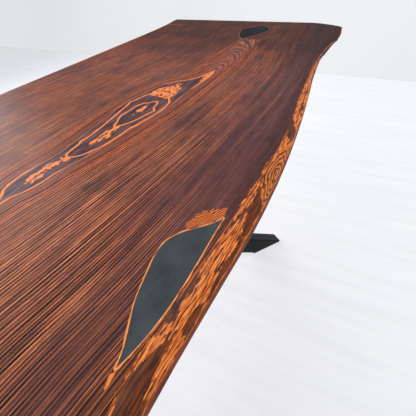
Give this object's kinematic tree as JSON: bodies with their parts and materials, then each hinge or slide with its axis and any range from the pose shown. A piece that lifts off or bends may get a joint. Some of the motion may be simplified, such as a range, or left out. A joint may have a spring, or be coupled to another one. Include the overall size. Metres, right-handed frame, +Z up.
{
  "type": "dining table",
  "caption": "Long rectangular dining table with one natural live edge, resin filled voids in a thick stained wood slab, and a crossing steel leg base.",
  "frame": {"origin": "on the floor, below the crossing of the base and midway along the slab", "axes": "+X along the slab towards the end with the teardrop resin fill, -Y towards the leaning live edge, +Z up"},
  "size_m": [2.7003, 0.9646, 0.75],
  "materials": {
    "stained_wood": "brushed, dark stained, satin oil",
    "black_resin": "sanded and polished to satin",
    "powder_coated_steel": "matte black powder coat",
    "blackened_steel": "black oxide",
    "brass_insert": "turned",
    "black_plastic": "moulded"
  },
  "bodies": {
    "root": {"arm_back_left": "powder_coated_steel", "arm_back_right": "powder_coated_steel", "arm_front_left": "powder_coated_steel", "arm_front_right": "powder_coated_steel", "bar_bolts": "blackened_steel", "bar_inserts": "brass_insert", "bar_washers": "blackened_steel", "channel_bolts": "blackened_steel", "channel_inserts": "brass_insert", "channel_washers": "blackened_steel", "cross_bar_left": "powder_coated_steel", "cross_bar_right": "powder_coated_steel", "foot_glide_back_left": "black_plastic", "foot_glide_back_right": "black_plastic", "foot_glide_front_left": "black_plastic", "foot_glide_front_right": "black_plastic", "foot_plate_back_left": "powder_coated_steel", "foot_plate_back_right": "powder_coated_steel", "foot_plate_front_left": "powder_coated_steel", "foot_plate_front_right": "powder_coated_steel", "glide_screws": "blackened_steel", "leg_back_left": "powder_coated_steel", "leg_back_right": "powder_coated_steel", "leg_front_left": "powder_coated_steel", "leg_front_right": "powder_coated_steel", "resin_fill_far": "black_resin", "resin_fill_near": "black_resin", "slab_top": "stained_wood", "stiffener_channel_left": "powder_coated_steel", "stiffener_channel_right": "powder_coated_steel"}
  },
  "joints": []
}
